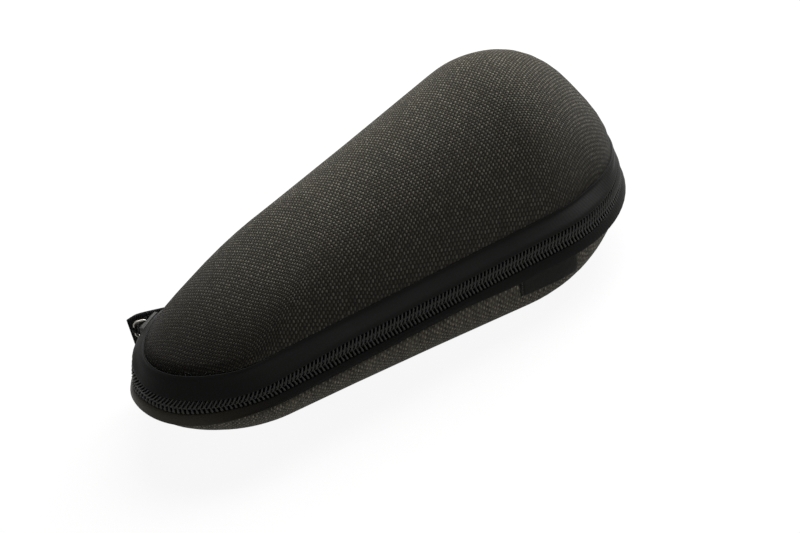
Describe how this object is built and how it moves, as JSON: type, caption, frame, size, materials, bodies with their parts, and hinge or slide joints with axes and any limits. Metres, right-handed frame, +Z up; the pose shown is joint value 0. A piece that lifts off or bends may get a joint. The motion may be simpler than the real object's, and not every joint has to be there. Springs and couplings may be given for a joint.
{
  "type": "electric shaver hard case",
  "caption": "Moulded zip clamshell travel case for a shaver, pear-shaped, with a tall dome lid, fabric hinge, coil zip, ring and ribbon pull.",
  "frame": {"origin": "on the flat base, under the middle of the case's length and width", "axes": "+X towards the wide head end, -Y towards the label side, +Y towards the fabric hinge, +Z up from the base"},
  "size_m": [0.2026, 0.0831, 0.0783],
  "materials": {
    "heather_weave": "plain-woven melange polyester, matt",
    "eva_foam": "moulded closed-cell foam",
    "tricot_lining": "brushed tricot",
    "binding_tape": "folded woven tape",
    "black_trim": "smooth coated tape, matt",
    "zip_tape": "ribbed woven tape",
    "nylon_coil": "nylon monofilament",
    "stop_metal": "black stamped metal",
    "woven_label": "smooth woven label",
    "slider_metal": "gunmetal die casting",
    "ring_metal": "bright plated wire",
    "black_ribbon": "grosgrain ribbon"
  },
  "bodies": {
    "base": {"lower_skin": "heather_weave", "lower_core": "eva_foam", "lower_lining": "tricot_lining", "lower_binding": "binding_tape", "lower_trim": "black_trim", "lower_zip_tape": "zip_tape", "lower_coil": "nylon_coil", "handle_stop": "stop_metal", "head_stop": "stop_metal", "side_label": "woven_label"},
    "lid": {"upper_skin": "heather_weave", "upper_core": "eva_foam", "upper_lining": "tricot_lining", "upper_binding": "binding_tape", "upper_trim": "black_trim", "upper_zip_tape": "zip_tape", "upper_coil": "nylon_coil", "hinge_gusset": "black_trim"},
    "slider": {"slider_body": "slider_metal"},
    "ring": {"pull_ring": "ring_metal"},
    "ribbon": {"ribbon_pull": "black_ribbon"}
  },
  "joints": [
    {"name": "lid_hinge", "type": "hinge", "parent": "base", "child": "lid", "pos_m": [-0.0105, 0.03596, 0.0193], "axis": [-0.9959, -0.0899, 0], "range_deg": [0, 135], "deforming": ["hinge_gusset"]},
    {"name": "slider_travel", "type": "hinge", "parent": "base", "child": "slider", "pos_m": [-0.06418, -0.00908, 0.025], "axis": [0, 0, 1], "range_deg": [0, 26]},
    {"name": "ring_swing", "type": "hinge", "parent": "slider", "child": "ring", "pos_m": [-0.07946, 0.02873, 0.025], "axis": [0, 0, 1], "range_deg": [0, 29]},
    {"name": "ribbon_swing", "type": "hinge", "parent": "ring", "child": "ribbon", "pos_m": [-0.08317, 0.0307, 0.025], "axis": [0, 0, 1], "range_deg": [0, 145]}
  ],
  "couplings": [
    {"joint": "ribbon_swing", "follows": "ring_swing", "ratio": 5}
  ]
}
